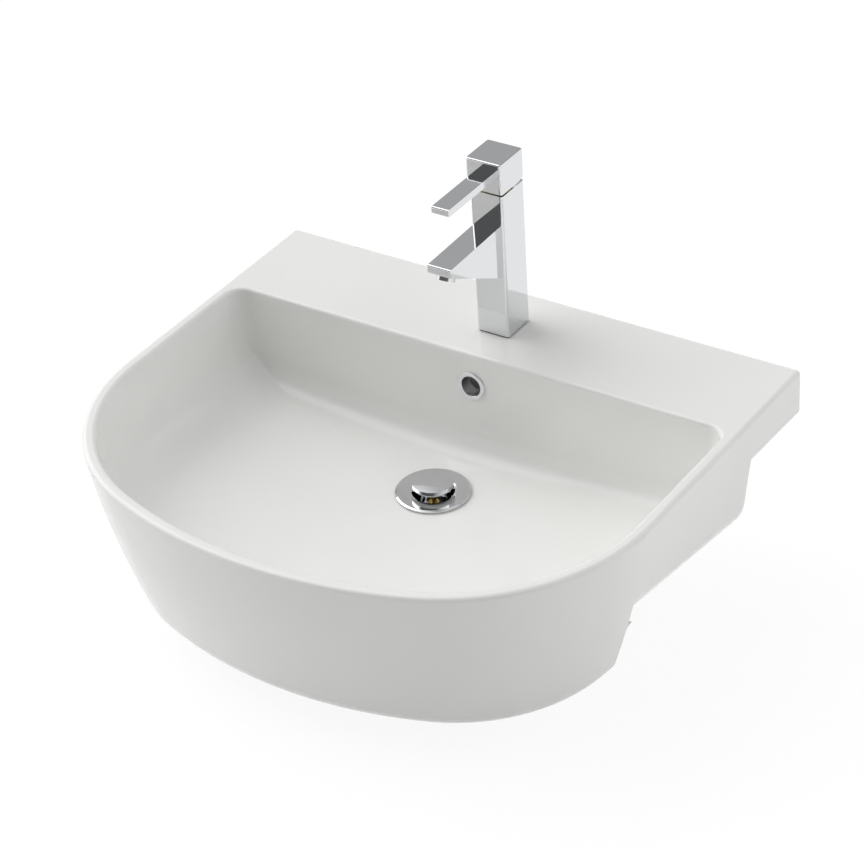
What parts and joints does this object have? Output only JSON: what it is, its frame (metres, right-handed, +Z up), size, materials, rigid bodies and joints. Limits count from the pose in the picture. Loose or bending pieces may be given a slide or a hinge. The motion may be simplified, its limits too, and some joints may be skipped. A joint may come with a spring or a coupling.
{
  "type": "semi-recessed basin",
  "caption": "D-fronted ceramic basin with a rear tap ledge and a deep front apron, with a square single-lever mixer, an overflow ring and a push-click waste.",
  "frame": {"origin": "centre of the rear ledge's face on the wall", "axes": "+Z up, +Y into the wall, so the bowl's front faces -Y; X along the wall"},
  "size_m": [0.55, 0.4784, 0.3805],
  "materials": {
    "ceramic": "glossy white glaze",
    "chrome": "polished chrome plate",
    "brass": "machined brass",
    "steel": "zinc-plated steel",
    "black_rubber": "matt black rubber",
    "clear_rubber": "milky silicone rubber",
    "cartridge_plastic": "moulded acetal",
    "disc_ceramic": "lapped alumina",
    "index_plastic": "glossy grey plastic",
    "insert_plastic": "moulded plastic"
  },
  "bodies": {
    "basin": {"basin": "ceramic", "overflow_ring": "chrome", "tap_body": "chrome", "aerator_housing": "chrome", "waste_flange": "chrome", "tap_base_seal": "black_rubber", "cartridge_housing": "cartridge_plastic", "fixed_ceramic_disc": "disc_ceramic", "cartridge_base_seals": "black_rubber", "cartridge_nut": "brass", "aerator_insert": "insert_plastic", "aerator_seal": "black_rubber", "tap_fixing_stud": "steel", "horseshoe_seal": "black_rubber", "horseshoe_washer": "steel", "fixing_nut": "steel", "waste_top_seal": "clear_rubber", "waste_bottom_seal": "black_rubber", "waste_back_nut": "brass", "click_mechanism": "brass", "plug_spring": "steel"},
    "mixer_turn": {"cartridge_carrier": "cartridge_plastic", "spindle_pin": "steel"},
    "mixer_lift": {"mixer_handle": "chrome", "handle_grub_screw": "steel", "index_plug": "index_plastic", "spindle": "brass"},
    "mixer_disc": {"moving_ceramic_disc": "disc_ceramic"},
    "waste_plug": {"waste_plug": "chrome", "plug_stem": "brass", "plug_seal": "clear_rubber"}
  },
  "joints": [
    {"name": "mixer_turn", "type": "hinge", "parent": "basin", "child": "mixer_turn", "pos_m": [0, -0.059, 0.0225], "axis": [0, 0, 1], "range_deg": [-45, 45]},
    {"name": "mixer_lift", "type": "hinge", "parent": "mixer_turn", "child": "mixer_lift", "pos_m": [0, -0.059, 0.1565], "axis": [-1, 0, 0], "range_deg": [0, 18]},
    {"name": "mixer_disc", "type": "slide", "parent": "mixer_turn", "child": "mixer_disc", "axis": [0, -1, 0], "range_m": [0, 0.0019]},
    {"name": "plug_press", "type": "slide", "parent": "basin", "child": "waste_plug", "axis": [0, 0, 1], "range_m": [-0.0075, 0], "stiffness_N_per_m": 300, "springref_m": 0.015, "deforming": ["plug_spring"]}
  ],
  "couplings": [
    {"joint": "mixer_disc", "follows": "mixer_lift", "m_per_rad": 0.006}
  ]
}
